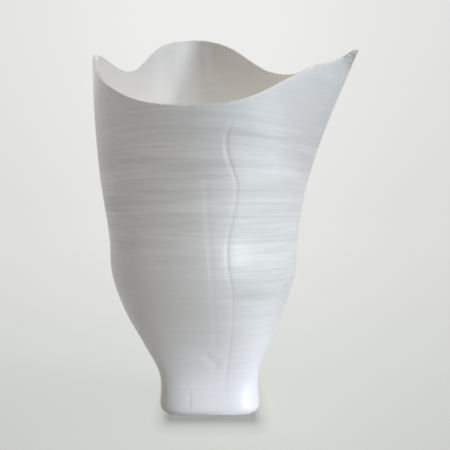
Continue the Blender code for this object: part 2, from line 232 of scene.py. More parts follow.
# %% Places of the seam and scars
# Height above the sole and direction of the seam, from the foot up to the rim.
SEAM = [
    (0.000, -74.2),
    (0.010, -73.2),
    (0.020, -71.6),
    (0.042, -71.6),
    (0.051, -71.8),
    (0.060, -73.5),
    (0.068, -76.1),
    (0.078, -77.2),
    (0.089, -75.2),
    (0.097, -73.6),
    (0.104, -73.3),
    (0.111, -76.1),
    (0.118, -78.8),
    (0.124, -79.2),
    (0.132, -75.7),
    (0.139, -70.4),
    (0.160, -60.0),
]
SEAM_DEPTH = 0.00013
SEAM_LEFT_FLANK = 0.0012
SEAM_RIGHT_FLANK = 0.0007
SEAM_RIDGE = 0.00005  # raised line left of the seam, under the rim
SEAM_RIDGE_AWAY = 0.0021
SEAM_RIDGE_WIDTH = 0.0006
FOLD_DEPTH = 0.00014
FOLD_LEFT_FLANK = 0.0026
FOLD_RIGHT_FLANK = 0.0014
# Azimuth and height of the two ends of each scar, its depth, and its left and right half width.
SCARS = [
    ((-90.0, 0.0290), (-82.5, 0.0246), 0.00030, 0.0016, 0.0016),
    ((-75.0, 0.0296), (-81.5, 0.0262), 0.00022, 0.0016, 0.0016),
    ((-96.5, 0.0258), (-92.5, 0.0256), -0.00012, 0.0018, 0.0018),
    ((-110.5, 0.0000), (-110.5, 0.0105), 0.00016, 0.0017, 0.0004),
]
print("seam points:", len(SEAM), "scars:", len(SCARS))

# %% Depth of the seam, the fold and the scars
def seam_azimuth(height):
    return curve_through(SEAM, height)


def dent_depth(azimuth, height):
    """How far the seam, the fold and the scars sink below the plain wall."""
    reach = wall_reach(azimuth, height)
    # The seam is wider and deeper under the rim, where the raised line runs beside it.
    beside = np.radians(around(azimuth, seam_azimuth(height))) * reach
    upper = smooth_step(0.108, 0.010, height) * (1.0 - smooth_step(0.127, 0.008, height))
    shown = smooth_step(0.006, 0.010, height) * (1.0 - 0.3 * smooth_step(0.126, 0.010, height))
    flank = np.where(beside < 0.0, SEAM_LEFT_FLANK * (1.0 + 0.5 * upper), SEAM_RIGHT_FLANK)
    depth = SEAM_DEPTH * shown * (1.0 + 0.5 * upper) * np.exp(-((beside / flank) ** 2))
    ridge = np.exp(-(((beside + SEAM_RIDGE_AWAY) / SEAM_RIDGE_WIDTH) ** 2))
    depth = depth - SEAM_RIDGE * upper * ridge
    # The fold lies right of the crease, a little further off towards the rim.
    beside = np.radians(around(azimuth, crease_azimuth(height))) * reach
    beside = beside - 0.0016 - 0.0008 * smooth_step(0.080, 0.030, height)
    shown = smooth_step(CREASE_START, 0.008, height) * (1.0 - smooth_step(0.104, 0.008, height))
    flank = np.where(beside < 0.0, FOLD_LEFT_FLANK, FOLD_RIGHT_FLANK)
    depth = depth + FOLD_DEPTH * shown * np.exp(-((beside / flank) ** 2))
    # A scar is deepest on the line between its ends.
    for (start_az, start_z), (end_az, end_z), scar_depth, left_width, right_width in SCARS:
        x = np.radians(around(azimuth, start_az)) * reach
        z = height - start_z
        along_x = math.radians(end_az - start_az) * reach
        along_z = end_z - start_z
        share = np.clip((x * along_x + z * along_z) / (along_x**2 + along_z**2), 0.0, 1.0)
        away = np.hypot(x - share * along_x, z - share * along_z)
        width = np.where(x < share * along_x, left_width, right_width)
        depth = depth + scar_depth * np.exp(-((away / width) ** 2))
    return depth


print("seam depth half way up, mm:", round(1000 * float(dent_depth(seam_azimuth(0.1), 0.1)), 3))

# %% [markdown]
# The columns of the mesh start at the crease. They stand close together round the front, where
# the planter is looked at, closer still at the seam, and wider apart at the back.

# %% Columns of the wall's mesh
SEAM_OFFSET = 14.5
near_seam = [
    -3.4, -3.0, -2.7, -2.4, -2.1, -1.8, -1.4, -1.0,
    -0.7, -0.4, -0.2, 0.0, 0.2, 0.4, 0.6, 0.8, 1.1,
]
offsets = np.concatenate([
    np.arange(0.0, SEAM_OFFSET - 3.6, 0.55),
    SEAM_OFFSET + np.array(near_seam),
    np.arange(SEAM_OFFSET + 1.5, 97.0, 0.52),
    np.arange(97.0, 300.0, 1.25),
    np.arange(300.0, 360.0, 0.52),
    [360.0],
])
COLUMNS = len(offsets) - 1


def column_azimuths(height):
    """One direction for each column: the first on the crease, the crowded ones on the seam."""
    height = min(height, FRONT_DIP)
    start = float(crease_azimuth(height))
    shift = float(seam_azimuth(height * 1.02)) - start - SEAM_OFFSET
    follow = np.interp(offsets, [0.0, SEAM_OFFSET - 3.5, SEAM_OFFSET + 1.5, 70.0], [0, 1, 1, 0])
    return start + offsets + shift * follow


print("columns:", COLUMNS)

# %% [markdown]
# The section of the shell is one closed line: out over the sole, up the outside, over the rim,
# down the inside, over the ledge and the floor, and out through the drain hole. Each row below
# is that line's next step, carried all the way round. The rows are level up to the waist, and
# above it they rise and fall more and more, as the rim does.

# %% Rows up the outside
rows = []  # the points of each row, and whether it lies on the inside


def level_row(height, inset=0.0, outside=True):
    azimuth = column_azimuths(height)
    dents = dent_depth(azimuth, height) if outside and inset == 0.0 else 0.0
    rows.append((wall_points(azimuth, height, inset + dents), not outside))


def rising_row(share, inset=0.0, drop=0.0, outside=True, stepped=False):
    """A row that is level at the waist, at share 0, and follows the rim at share 1."""
    azimuth = column_azimuths(WAIST + (FRONT_DIP - WAIST) * share)
    top = rim_height(azimuth)
    if stepped:
        top = LAYER * np.floor(top / LAYER)
    height = WAIST + (top - WAIST) * share - drop
    dents = dent_depth(azimuth, height) if outside and inset < WALL / 2 else 0.0
    rows.append((wall_points(azimuth, height, inset + dents), not outside))


FILLET = 0.0035
for step in range(7):
    turn = math.radians(90.0 * step / 7)
    level_row(FILLET * (1.0 - math.cos(turn)), FILLET * (1.0 - math.sin(turn)))
# The middle part is the height of the V-shaped scar, where the rows stand closer together.
for low, high, count in ((FILLET, 0.022, 11), (0.022, 0.031, 15), (0.031, WAIST, 29)):
    for step in range(count):
        level_row(low + (high - low) * step / count)
RISING = 50
for step in range(RISING):
    rising_row(step / RISING)
rising_row(1.0, drop=0.0009)
print("rows up the outside:", len(rows))

# %% [markdown]
# A real print ends in whole layers, which leave small stairs on every slope of the rim, and in
# two passes side by side with a shallow groove between them. So the rim's height is rounded
# down to whole layers, and its profile has a dip in the middle. Each step below is an inset
# from the outside and a drop from the top.

# %% Rows over the rim
RIM_PROFILE = [
    (0.0, 0.00025),
    (0.00007, 0.00007),
    (0.00025, 0.0),
    (0.00065, 0.0),
    (0.0008, 0.0001),
    (0.00095, 0.0),
    (0.00135, 0.0),
    (0.00153, 0.00007),
    (WALL, 0.00025),
]
for inset, drop in RIM_PROFILE:
    rising_row(1.0, inset, drop, stepped=True)
print("rows with the rim:", len(rows))

# %% [markdown]
# Inside, the rows go down to the ledge that carries the screen, to the floor, up over the boss
# round the drain hole, down through the hole, and out over the recess for the plug's flange.
# The last row is the first one again, so that the skin closes.

# %% Rows down the inside and out through the drain
LEDGE, LEDGE_WIDTH, LEDGE_EDGE = 0.0200, 0.0026, 0.0008
FLOOR = 0.0030
INSIDE_RISING = 32
rising_row(1.0, WALL, 0.0009, outside=False)
for step in range(1, INSIDE_RISING):
    rising_row(1.0 - step / INSIDE_RISING, WALL, outside=False)
for step in range(22):
    level_row(WAIST + (LEDGE - WAIST) * step / 22, WALL, outside=False)
level_row(LEDGE, WALL, outside=False)
level_row(LEDGE, WALL + LEDGE_WIDTH, outside=False)
level_row(LEDGE - LEDGE_EDGE, WALL + LEDGE_WIDTH, outside=False)
UNDER_LEDGE = LEDGE - LEDGE_EDGE - LEDGE_WIDTH
for step in range(5):
    level_row(UNDER_LEDGE + (FLOOR - UNDER_LEDGE) * step / 4, WALL, outside=False)
DRAIN_PROFILE = [
    (0.0115, FLOOR),
    (0.0115, 0.0080),
    (0.0050, 0.0080),
    (0.0050, 0.0035),
    (0.0085, 0.0035),
    (0.0085, 0.0000),
]
for radius, height in DRAIN_PROFILE:
    turn = np.radians(column_azimuths(height))
    ring = [FOOT_X + radius * np.cos(turn), FOOT_Y + radius * np.sin(turn)]
    rows.append((np.stack(ring + [np.full(len(turn), SOLE_Z + height)], axis=-1), True))
rows.append(rows[0])
ROWS = len(rows) - 1
print("rows in all:", ROWS, "triangles:", 2 * ROWS * COLUMNS)

# %% [markdown]
# Now the shell itself. A flat grid is added with one square for each column and row, like a
# paper pattern, and is wrapped on the rows. Where its edges meet, merging by distance closes it,
# so it becomes one skin with an outside and an inside. The alternative, a solidify modifier,
# would give an even wall but not the ledge, the floor and the boss round the drain hole.

# %% Wrap a grid on the rows
def deselect_everything():
    if bpy.context.object and bpy.context.object.mode != "OBJECT":
        bpy.ops.object.mode_set(mode="OBJECT")
    bpy.ops.object.select_all(action="DESELECT")


def take(piece):
    """Makes a piece the only one that is selected, and the active one."""
    deselect_everything()
    piece.select_set(True)
    bpy.context.view_layer.objects.active = piece


def edit_everything():
    """Goes into edit mode with the whole mesh selected."""
    bpy.ops.object.mode_set(mode="EDIT")
    bpy.ops.mesh.select_all(action="SELECT")


deselect_everything()
bpy.ops.mesh.primitive_grid_add(x_subdivisions=COLUMNS, y_subdivisions=ROWS, size=1.0)
shell = bpy.context.object
shell.name = "shell_print"
flat = np.empty(len(shell.data.vertices) * 3)
shell.data.vertices.foreach_get("co", flat)
flat = flat.reshape(-1, 3)
column = np.rint((flat[:, 0] + 0.5) * COLUMNS).astype(int)
row = np.rint((flat[:, 1] + 0.5) * ROWS).astype(int)
inside_row = np.array([inside for points, inside in rows])
for face in shell.data.polygons:
    lowest = min(row[v] for v in face.vertices)
    face.material_index = int(inside_row[lowest])
wrapped = np.stack([points for points, inside in rows])[row, column]
print("grid points:", len(wrapped))

# %% [markdown]
# Two things are done to the points before they are used. Those near the horn's tip are pushed in
# by a fine random amount, because the last layers there were too small to cool and came out
# rough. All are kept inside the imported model's box, because the faceted solid cuts the outermost
# curves a hair short.

# %% Roughen the tip and place the points
ROUGH_RANGE = 0.011
ROUGH_DEPTH = 0.00014
horn_turn = math.radians(HORN_AZIMUTH)
outwards = np.array([math.cos(horn_turn), math.sin(horn_turn), 0.35])
near_tip = np.linalg.norm(wrapped - np.array(tip), axis=1)
for i in np.flatnonzero((near_tip < ROUGH_RANGE) & ~inside_row[row]):
    fall = 1.0 - near_tip[i] / ROUGH_RANGE
    grit = 0.5 + 0.5 * noise.noise(Vector(wrapped[i]) * 1100.0)
    wrapped[i] -= outwards * (ROUGH_DEPTH * grit * min(1.0, 1.6 * fall))
wrapped = np.clip(wrapped, np.array(shell_low), np.array(shell_high))
shell.data.vertices.foreach_set("co", wrapped.ravel())
shell.data.update()

edit_everything()
bpy.ops.mesh.remove_doubles(threshold=0.000001)
bpy.ops.object.mode_set(mode="OBJECT")
edges = np.empty(len(shell.data.loops), dtype=np.int32)
shell.data.loops.foreach_get("edge_index", edges)
open_edges = int((np.bincount(edges) != 2).sum())
print("faces:", len(shell.data.polygons), "edges not shared by two faces:", open_edges)

# %% [markdown]
# The pads are stuck into four shallow round pockets in the sole. A cylinder is added at each
# pad, the four are joined into one cutter, and a Boolean modifier takes them away.

# %% Pockets for the pads
PAD_NODES = [
    "foot_pad_front_left",
    "foot_pad_front_right",
    "foot_pad_rear_left",
    "foot_pad_rear_right",
]
PAD_GAP = 0.0003
POCKET_DEPTH = 0.0012


def cylinder(vertices, radius, depth, location):
    """A new upright cylinder."""
    deselect_everything()
    bpy.ops.mesh.primitive_cylinder_add(
        vertices=vertices, radius=radius, depth=depth, location=location
    )
    return bpy.context.object


def place_in_mesh():
    """Moves an object's place, turn and size into its mesh."""
    bpy.ops.object.transform_apply(location=True, rotation=True, scale=True)


def joined(pieces):
    """One object from several, with its place in its mesh."""
    deselect_everything()
    for piece in pieces:
        piece.select_set(True)
    bpy.context.view_layer.objects.active = pieces[0]
    bpy.ops.object.join()
    place_in_mesh()
    return bpy.context.object


def apply_boolean(piece, other, operation):
    """Cuts or joins a piece with another, which is then removed."""
    take(piece)
    change = piece.modifiers.new("cut", "BOOLEAN")
    change.operation = operation
    change.object = other
    change.solver = "EXACT"
    bpy.ops.object.modifier_apply(modifier=change.name)
    bpy.data.objects.remove(other)


pockets = []
for node in PAD_NODES:
    low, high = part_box(node)
    centre = ((low.x + high.x) / 2, (low.y + high.y) / 2, SOLE_Z)
    pockets.append(cylinder(40, (high.x - low.x) / 2 + PAD_GAP, 2 * POCKET_DEPTH, centre))
apply_boolean(shell, joined(pockets), "DIFFERENCE")
take(shell)
bpy.ops.object.shade_smooth_by_angle(angle=math.radians(38))
print("shell triangles:", sum(len(face.vertices) - 2 for face in shell.data.polygons))

# %% [markdown]
# The last layers at the rim end in small beads, and their white is a painted highlight. The
# material has to know where the rim is, so each point of the shell gets a share: 1 at the rim and 0
# a little below it. The share fades out to the left, where the beads are in the shade and the
# painted highlight ends.

# %% Share of the rim
RIM_EDGE_FADE = 0.0012
points = np.empty(len(shell.data.vertices) * 3)
shell.data.vertices.foreach_get("co", points)
x, y, z = points.reshape(-1, 3).T
azimuth = np.degrees(np.arctan2(y - FOOT_Y, x - FOOT_X + LEAN))
below = SOLE_Z + rim_height(azimuth) - z
painted_rim_glint = shell.data.attributes.new("painted_rim_glint", "FLOAT", "POINT")
# Painted highlight: the beads are painted white only on the rim's right part, which faces the
# lamps.
right = np.clip((x - FOOT_X + 0.032) / 0.020, 0.0, 1.0)
highlight_share = right * np.clip(1.0 - below / RIM_EDGE_FADE, 0.0, 1.0)
painted_rim_glint.data.foreach_set("value", highlight_share)
print("points on the rim's edge:", int((highlight_share > 0.0).sum()))

# %% [markdown]
# The screen is a thin plate that follows the wall above the ledge. A disc of many corners is
# added at its height and each corner is moved out to the wall, less a small gap. Then it is
# extruded to its thickness.

# %% Screen plate
SCREEN_GAP = 0.0005
SCREEN_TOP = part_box("screen_knob")[0].z + 0.0020
SCREEN_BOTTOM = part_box("soil_screen")[0].z
deselect_everything()
bpy.ops.mesh.primitive_circle_add(vertices=120, radius=0.024, fill_type="NGON")
screen = bpy.context.object
screen.name = "screen_plate"
for vertex in screen.data.vertices:
    azimuth = math.degrees(math.atan2(vertex.co.y, vertex.co.x))
    vertex.co = wall_points(azimuth, SCREEN_BOTTOM - SOLE_Z, WALL + SCREEN_GAP)
    vertex.co.z = SCREEN_BOTTOM
edit_everything()
bpy.ops.mesh.extrude_region_move(
    TRANSFORM_OT_translate={"value": (0, 0, SCREEN_TOP - SCREEN_BOTTOM)}
)


def face_outwards():
    """Turns all faces of the mesh outwards and leaves edit mode."""
    bpy.ops.mesh.select_all(action="SELECT")
    bpy.ops.mesh.normals_make_consistent(inside=False)
    bpy.ops.object.mode_set(mode="OBJECT")


face_outwards()
print("plate, mm:", [round(1000 * side, 1) for side in screen.dimensions])

# %% [markdown]
# Water goes through two rings of small holes, and the knob's peg sits in one in the middle. All
# the holes are cut at once, with a cutter of joined cylinders, and a narrow bevel takes the
# sharpness off the edges.

# %% Holes in the screen
PEG_HOLE_RADIUS = 0.0019
HOLE_RADIUS = 0.0015
HOLE_PITCH = 0.0052
FIRST_RING = 0.0026 + HOLE_PITCH
places = []
for radius in (FIRST_RING, FIRST_RING + HOLE_PITCH):
    count = int(2 * math.pi * radius / HOLE_PITCH)
    places += [(radius, 2 * math.pi * i / count) for i in range(count)]
drills = []
for radius, turn in places + [(0.0, 0.0)]:
    x = FOOT_X + radius * math.cos(turn)
    y = FOOT_Y + radius * math.sin(turn)
    hole_radius = HOLE_RADIUS if radius else PEG_HOLE_RADIUS
    drills.append(cylinder(20, hole_radius, 0.008, (x, y, (SCREEN_TOP + SCREEN_BOTTOM) / 2)))
apply_boolean(screen, joined(drills), "DIFFERENCE")


def soften_edges(piece, width, segments=2, angle=40):
    """A narrow bevel on the sharp edges, applied, and smooth shading elsewhere."""
    take(piece)
    bevel = piece.modifiers.new("soft edges", "BEVEL")
    bevel.width = width
    bevel.segments = segments
    bevel.limit_method = "ANGLE"
    bevel.angle_limit = math.radians(angle)
    bpy.ops.object.modifier_apply(modifier=bevel.name)
    bpy.ops.object.shade_smooth_by_angle(angle=math.radians(35))


soften_edges(screen, 0.0002)
print("holes:", len(places), "faces:", len(screen.data.polygons))

# %% [markdown]
# The knob and the plug are round, so both are turned: a disc is added at the lowest step of the
# profile, and each further step is an extrusion that is moved up and scaled to its new radius.

# %% Knob of the screen
def turned(name, profile, sides=48):
    """A closed round piece on the foot's axis, from (radius, height above the sole) steps."""
    radius, height = profile[0]
    deselect_everything()
    bpy.ops.mesh.primitive_circle_add(
        vertices=sides, radius=radius, fill_type="NGON", location=(FOOT_X, FOOT_Y, SOLE_Z + height)
    )
    piece = bpy.context.object
    piece.name = name
    place_in_mesh()
    edit_everything()
    for next_radius, next_height in profile[1:]:
        bpy.ops.mesh.extrude_region_move(
            TRANSFORM_OT_translate={"value": (0, 0, next_height - height)}
        )
        if next_radius != radius:
            share = next_radius / radius
            bpy.ops.transform.resize(
                value=(share, share, 1), center_override=(FOOT_X, FOOT_Y, SOLE_Z + next_height)
            )
        radius, height = next_radius, next_height
    face_outwards()
    return piece


knob_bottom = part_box("screen_knob")[0].z - SOLE_Z
knob_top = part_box("screen_knob")[1].z - SOLE_Z
knob = turned("screen_knob_print", [
    (0.0016, knob_bottom),
    (0.0016, knob_bottom + 0.0023),
    (0.0026, knob_bottom + 0.0023),
    (0.0026, knob_top - 0.0030),
    (0.0036, knob_top - 0.0020),
    (0.0036, knob_top - 0.0010),
    (0.0026, knob_top),
])
soften_edges(knob, 0.0003, 3, 25)
print("knob height, mm:", round(1000 * knob.dimensions.z, 2))

# %% [markdown]
# The plug's flange lies in the recess under the floor, and its stem fills the hole. A flat grip
# crosses the underside, to pull it by. It is a stretched cube, joined to the turned part by a
# Boolean, so that the plug stays one closed skin.

# %% Drain plug
flange_top = 0.0032
plug_tip = plug_high.z - SOLE_Z
plug = turned("drain_plug_soft", [
    (0.0080, flange_top - 0.0016),
    (0.0080, flange_top),
    (0.0047, flange_top),
    (0.0047, plug_tip - 0.0010),
    (0.0037, plug_tip),
])
grip_low = plug_low.z
grip_high = SOLE_Z + flange_top - 0.0008
deselect_everything()
bpy.ops.mesh.primitive_cube_add(size=1.0, location=(FOOT_X, FOOT_Y, (grip_low + grip_high) / 2))
grip = bpy.context.object
bpy.ops.transform.resize(value=(0.0090, 0.0024, grip_high - grip_low))
place_in_mesh()
apply_boolean(plug, grip, "UNION")
soften_edges(plug, 0.00025, 2, 30)
print("plug height, mm:", round(1000 * plug.dimensions.z, 2))

# %% [markdown]
# The pads are all alike: a short cylinder whose lower edge is rounded over, so that it looks
# moulded. One is made and copied, and each copy gets its own mesh, moved to its corner.

# %% Foot pads
pad_low, pad_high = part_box(PAD_NODES[0])
pad_radius = (pad_high.x - pad_low.x) / 2
first_pad = cylinder(48, pad_radius, pad_high.z - pad_low.z, (pad_low + pad_high) / 2)
place_in_mesh()
bpy.ops.object.mode_set(mode="EDIT")
bpy.ops.mesh.select_all(action="DESELECT")
edit = bmesh.from_edit_mesh(first_pad.data)
for edge in edit.edges:
    edge.select = all(v.co.z < pad_low.z + 0.0001 for v in edge.verts)
bmesh.update_edit_mesh(first_pad.data)
bpy.ops.mesh.bevel(offset=0.0003, segments=4, affect="EDGES")
bpy.ops.object.mode_set(mode="OBJECT")
bpy.ops.object.shade_smooth_by_angle(angle=math.radians(35))
pads = [first_pad]
for node in PAD_NODES[1:]:
    low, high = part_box(node)
    copy = first_pad.copy()
    copy.data = first_pad.data.copy()
    bpy.context.scene.collection.objects.link(copy)
    take(copy)
    bpy.ops.transform.translate(value=(low.x - pad_low.x, low.y - pad_low.y, 0))
    place_in_mesh()
    pads.append(copy)
for pad, node in zip(pads, PAD_NODES):
    pad.name = node.replace("foot_pad", "soft_pad")
print("pads:", [pad.name for pad in pads])

# %% [markdown]
# Each piece now moves with a body of the imported model, and the plain node that it stands for is
# hidden. The table also names each piece's finish from the record, which nothing here reads.

# %% Who rides on what
riders = [
    (shell, "pot", "printed_shell", "silk_print"),
    (screen, "screen", "soil_screen", "silk_print"),
    (knob, "screen", "screen_knob", "silk_print"),
    (plug, "plug", "drain_plug", "plug_silicone"),
]
riders += [(pad, "pot", node, "pad_silicone") for pad, node in zip(pads, PAD_NODES)]
for piece, body, node, finish in riders:
    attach(piece, body)
    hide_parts(node)
print("pieces:", len(riders), "on the bodies", sorted({rider[1] for rider in riders}))

# %% [markdown]
# Every printed piece shows its layers: low rounded beads, 0.29 mm high, all level, whatever the
# wall does. Modelling 680 of them would take millions of faces, so they are a bump. Materials are
# networks of nodes, and a few helpers keep their code short.

# %% Helpers for nodes
def add_node(tree, kind, settings=None, inputs=None):
    """A new node. Each input is set to a value or linked to another node's output."""
    node = tree.nodes.new("ShaderNode" + kind)
    for name, value in (settings or {}).items():
        setattr(node, name, value)
    for name, value in (inputs or {}).items():
        if isinstance(value, bpy.types.NodeSocket):
            tree.links.new(value, node.inputs[name])
        else:
            node.inputs[name].default_value = value
    return node


def calculate(tree, operation, *operands):
    """The result of a Math node."""
    return add_node(tree, "Math", {"operation": operation}, dict(enumerate(operands))).outputs[0]


def map_range(tree, value, low, high, to_low=0.0, to_high=1.0, kind="LINEAR"):
    """A value carried from one range to another, and held at the ends."""
    ends = {"From Min": low, "From Max": high, "To Min": to_low, "To Max": to_high}
    node = add_node(tree, "MapRange", {"interpolation_type": kind}, {"Value": value, **ends})
    return node.outputs[0]


def noise_value(tree, place, scale, detail):
    """Smooth noise, from about 0.2 to 0.8 round a middle of 0.5."""
    inputs = {"Vector": place, "Scale": scale, "Detail": detail}
    return add_node(tree, "TexNoise", None, inputs).outputs["Fac"]


def distance(tree, place, centre=(0.0, 0.0, 0.0)):
    """How far a point is from a centre."""
    inputs = {0: place, 1: centre}
    return add_node(tree, "VectorMath", {"operation": "DISTANCE"}, inputs).outputs["Value"]


def position(tree):
    """The place of a point in the object's own metres, and its X, Y and Z."""
    place = add_node(tree, "TexCoord").outputs["Object"]
    split = add_node(tree, "SeparateXYZ", None, {0: place})
    return place, *split.outputs


print("helpers for nodes: ready")

# %% [markdown]
# The layers are a node group that all printed pieces share. It turns the height of a point into
# the height of the bead under it. It gives a tone that changes from layer to layer, because no
# two layers come out quite alike. And it gives streaks along the layers, in two sizes, broad and
# fine: a noise that is stretched level and squeezed upright.

# %% Node group for printed layers
STREAKS_PER_METRE = (230.0, 1300.0)  # broad and fine, counted upright
layers = bpy.data.node_groups.new("printed layers", "ShaderNodeTree")
for label, value in (("Layer Height", LAYER), ("Streak Length", 0.05)):
    socket = layers.interface.new_socket(label, in_out="INPUT", socket_type="NodeSocketFloat")
    socket.default_value = value
for label in ("Bead Height", "Layer Tone", "Streaks"):
    layers.interface.new_socket(label, in_out="OUTPUT", socket_type="NodeSocketFloat")
layers_in = layers.nodes.new("NodeGroupInput")
layers_out = layers.nodes.new("NodeGroupOutput")

_, along_x, along_y, up = position(layers)
phase = calculate(layers, "DIVIDE", up, layers_in.outputs["Layer Height"])
wave = calculate(layers, "SINE", calculate(layers, "MULTIPLY", phase, math.pi))
layers.links.new(calculate(layers, "ABSOLUTE", wave), layers_out.inputs["Bead Height"])

dice = add_node(layers, "TexWhiteNoise", {"noise_dimensions": "1D"}, {
    "W": calculate(layers, "FLOOR", phase)
})
layers.links.new(dice.outputs["Value"], layers_out.inputs["Layer Tone"])

per_length = calculate(layers, "DIVIDE", 1.0, layers_in.outputs["Streak Length"])
halves = []
for per_metre in STREAKS_PER_METRE:
    stretched = add_node(layers, "CombineXYZ", None, {
        "X": calculate(layers, "MULTIPLY", along_x, per_length),
        "Y": calculate(layers, "MULTIPLY", along_y, per_length),
        "Z": calculate(layers, "MULTIPLY", up, per_metre),
    })
    streak = noise_value(layers, stretched.outputs[0], 1.0, 2.0)
    halves.append(calculate(layers, "MULTIPLY", streak, 0.5))
layers.links.new(calculate(layers, "ADD", *halves), layers_out.inputs["Streaks"])
print("group:", layers.name, "with", len(layers.nodes), "nodes")

# %% [markdown]
# Silk plastic is white with a pearl sheen, and has streaks along the layers where the flow changed.
# In the colour the streaks are partly the silk's own tone and partly a painted sheen. They are calm
# at the foot, under the rim and low on the left. Two single layers are paler for a part of their
# way. The tone below goes from 0, the darkest streak, to 1.

# %% Tone of the silk
def grey(level):
    return (level, level, level)


def colour_ramp(tree, value, stops):
    """The colour at a value, from (value, colour) stops."""
    ramp = add_node(tree, "ValToRGB", None, {"Fac": value})
    elements = ramp.color_ramp.elements
    while len(elements) < len(stops):
        elements.new(0.5)
    for element, (stop, colour) in zip(elements, stops):
        element.position = stop
        element.color = (*colour, 1.0)
    return ramp.outputs["Color"]


def mix(tree, share, first, second, blend_type="MIX"):
    """Two colours, the first at share 0 and the second at share 1."""
    settings = {"data_type": "RGBA", "blend_type": blend_type}
    node = add_node(tree, "Mix", settings, {"Factor": share, "A": first, "B": second})
    return node.outputs["Result"]


# Height, strength, and where along X each paler layer starts and is at its palest.
PALER_LAYERS = [
    (0.1087, 0.5, -0.002, -0.010),
    (0.1352, 0.3, 0.030, 0.018),
]


def calm_zones(tree, x, z):
    """How strongly the streaks show, on the left and on the right of the crease."""
    sides = []
    for start, full in ((0.066, 0.090), (0.035, 0.060)):  # left, right
        stops = [(start, grey(0.25)), (full, grey(1.0)), (0.124, grey(1.0)), (0.136, grey(0.35))]
        sides.append(colour_ramp(tree, z, stops))
    right = map_range(tree, x, FOOT_X - 0.004, FOOT_X + 0.010, kind="SMOOTHSTEP")
    return mix(tree, right, *sides)


def paler_layers(tree, tone, x, z):
    """The tone with the two paler layers added."""
    for height, strength, start, full in PALER_LAYERS:
        off = calculate(tree, "ABSOLUTE", calculate(tree, "SUBTRACT", z, height))
        near = map_range(tree, off, 0.0002, 0.0006, strength, 0.0)
        part = map_range(tree, x, FOOT_X + start, FOOT_X + full)
        tone = calculate(tree, "MULTIPLY_ADD", near, part, tone)
    return tone


print("paler layers:", len(PALER_LAYERS))

# %% [markdown]
# Two places differ from the rest. The beads on the edge of the rim are painted white, a painted
# highlight, and the tip of the horn is grey with pale specks. The inside of the planter has a paler
# colour, painted light for the light that comes through the thin wall and bounces, and a painted
# shade makes it greyer towards the rim.

# %% Rim, tip and upper inside
TIP_PATCH = (0.008, 0.014)  # distance from the tip where the grey begins to fade and ends


def rim_bead_highlight(tree, place, colour):
    # Painted highlight: pale specks on the rim's lit edge.
    edge = add_node(tree, "Attribute", {"attribute_name": "painted_rim_glint"}).outputs["Fac"]
    glints = map_range(tree, noise_value(tree, place, 700.0, 0.0), 0.45, 0.60)
    return mix(tree, calculate(tree, "MULTIPLY", edge, glints), colour, (1.0, 0.99, 0.97, 1.0))


def rough_tip(tree, place, colour):
    patch = map_range(tree, distance(tree, place, tip), *TIP_PATCH, 1.0, 0.0, "SMOOTHSTEP")
    specks = map_range(tree, noise_value(tree, place, 800.0, 1.0), 0.50, 0.62, 1.0, 0.2)
    amount = calculate(tree, "MULTIPLY", patch, specks)
    return mix(tree, amount, colour, (0.50, 0.495, 0.48, 1.0))


def painted_top_shade(tree, z, colour, top_shade):
    # Painted shade: darker from 160 mm up to the rim.
    return mix(tree, 1.0, colour, map_range(tree, z, 0.160, 0.196, 1.0, top_shade), "MULTIPLY")


print("grey patch, mm from the tip:", [1000 * end for end in TIP_PATCH])

# %% [markdown]
# The silk itself is a satin body under a thin clear coat, which darkens it a little where the
# wall turns away. Colour and roughness follow the tone, and the beads of the layers are the
# bump. The screen and its knob were printed apart, in a slightly darker batch.

# %% Silk plastic
def new_material(name):
    """A new material, its node tree and its shader."""
    material = bpy.data.materials.new(name)
    material.use_nodes = True
    return material, material.node_tree, material.node_tree.nodes["Principled BSDF"]


def surface(tree, shader, colour, roughness, height, strength, depth):
    """Links the colour, the roughness and a bump to a shader."""
    bump = {"Height": height, "Strength": strength, "Distance": depth}
    tree.links.new(colour, shader.inputs["Base Color"])
    tree.links.new(roughness, shader.inputs["Roughness"])
    tree.links.new(add_node(tree, "Bump", None, bump).outputs[0], shader.inputs["Normal"])


def silk(name, light, dark, roughness, streak_share, tip_patch=False, top_shade=1.0):
    material, tree, shader = new_material(name)
    shader.inputs["IOR"].default_value = 1.5
    shader.inputs["Metallic"].default_value = 0.1
    shader.inputs["Coat Weight"].default_value = 0.7
    shader.inputs["Coat Roughness"].default_value = 0.32
    lines = add_node(tree, "Group", {"node_tree": layers}, {"Streak Length": 0.037}).outputs
    place, x, _, z = position(tree)
    # Partly painted sheen: the streaks lighten and darken the colour as well as the gloss.
    streaks = map_range(tree, lines["Streaks"], 0.36, 0.64, -0.5, 0.5)
    tone = calculate(tree, "MULTIPLY_ADD", streaks, calm_zones(tree, x, z), 0.5)
    colour = mix(tree, paler_layers(tree, tone, x, z), (*dark, 1.0), (*light, 1.0))
    colour = rim_bead_highlight(tree, place, colour)
    if tip_patch:
        colour = rough_tip(tree, place, colour)
    if top_shade < 1.0:
        colour = painted_top_shade(tree, z, colour, top_shade)
    gloss = map_range(tree, tone, 0.0, 1.0, roughness + streak_share, roughness - streak_share)
    height = calculate(tree, "MULTIPLY_ADD", lines["Layer Tone"], 0.5, lines["Bead Height"])
    surface(tree, shader, colour, gloss, height, 1.0, 0.000014)
    return material


silk_outside = silk(
    "silk_outside", (0.890, 0.892, 0.892), (0.738, 0.740, 0.742), 0.47, 0.10, tip_patch=True
)
# Painted light: the inside's colours are paler than the outside's, and top_shade is a painted shade
# towards the rim.
silk_inside = silk(
    "silk_inside", (0.985, 0.980, 0.970), (0.885, 0.880, 0.868), 0.47, 0.10, top_shade=0.73
)
silk_screen = silk("silk_screen", grey(0.80), (0.70, 0.70, 0.705), 0.50, 0.08)
